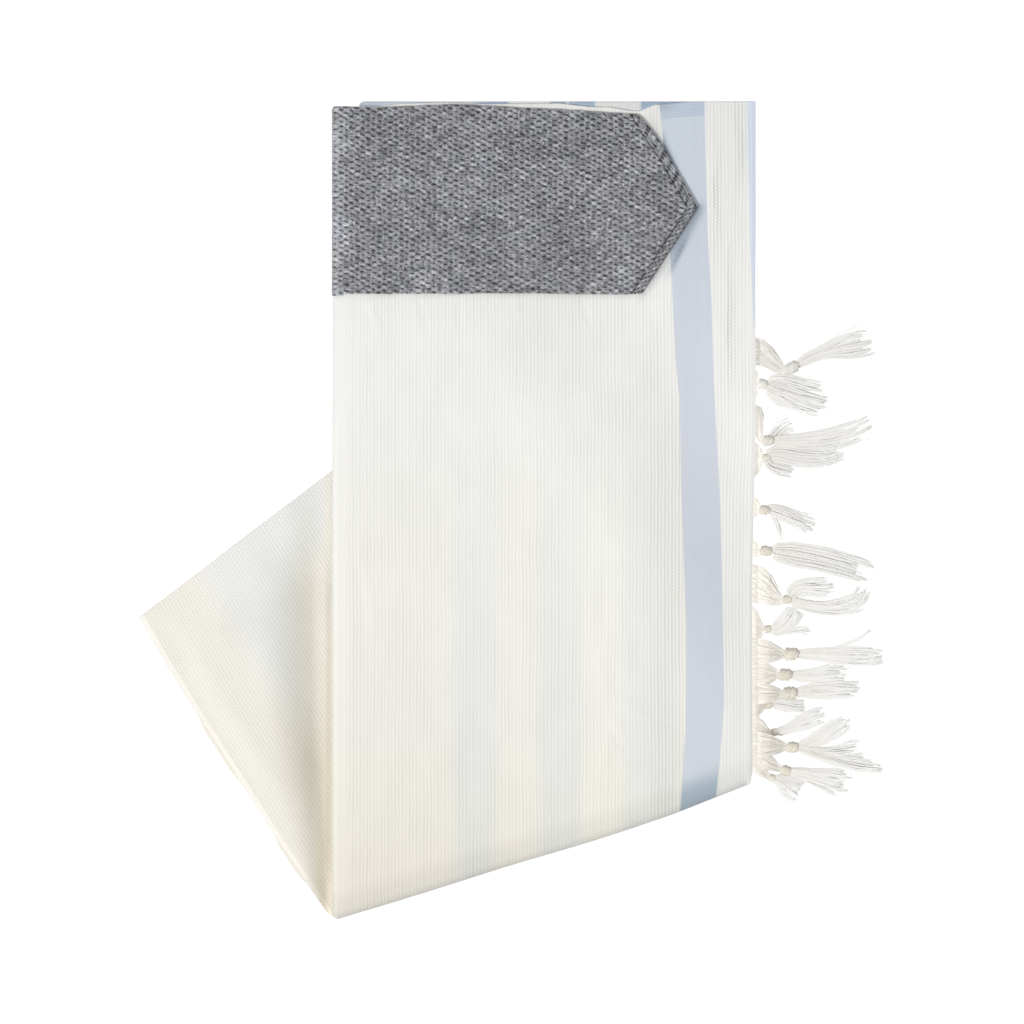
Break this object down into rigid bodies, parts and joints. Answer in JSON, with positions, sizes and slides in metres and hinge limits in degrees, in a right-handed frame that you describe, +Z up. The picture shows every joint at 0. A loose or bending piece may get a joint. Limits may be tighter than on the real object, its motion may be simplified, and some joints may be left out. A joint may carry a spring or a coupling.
{
  "type": "tallit prayer shawl",
  "caption": "Folded tallit lying flat: ribbed white cloth with a satin stripe, a pointed grey woven neckband, a slanted fold with a flap behind, and a knotted fringe.",
  "frame": {"origin": "middle of the folded shawl's outline, fringe included, on the surface that it lies on", "axes": "+Z up from the surface, +Y towards the neck edge, +X towards the fringe"},
  "size_m": [0.3872, 0.4255, 0.0149],
  "materials": {
    "white_cloth": "matt, ribbed",
    "folded_layers": "matt",
    "striped_cloth": "matt with smooth stripes",
    "neckband_weave": "matt basket weave",
    "fringe_yarn": "matt yarn"
  },
  "bodies": {
    "root": {"front_panel": "white_cloth", "second_layer": "striped_cloth", "front_layers": "folded_layers", "back_panel": "white_cloth", "back_layers": "folded_layers", "neckband": "neckband_weave", "tassel_01": "fringe_yarn", "tassel_02": "fringe_yarn", "tassel_03": "fringe_yarn", "tassel_04": "fringe_yarn", "tassel_05": "fringe_yarn", "tassel_06": "fringe_yarn", "tassel_07": "fringe_yarn", "tassel_08": "fringe_yarn", "tassel_09": "fringe_yarn", "tassel_10": "fringe_yarn", "tassel_11": "fringe_yarn", "tassel_12": "fringe_yarn", "tassel_13": "fringe_yarn", "tassel_14": "fringe_yarn", "tassel_15": "fringe_yarn", "tassel_16": "fringe_yarn"}
  },
  "joints": []
}
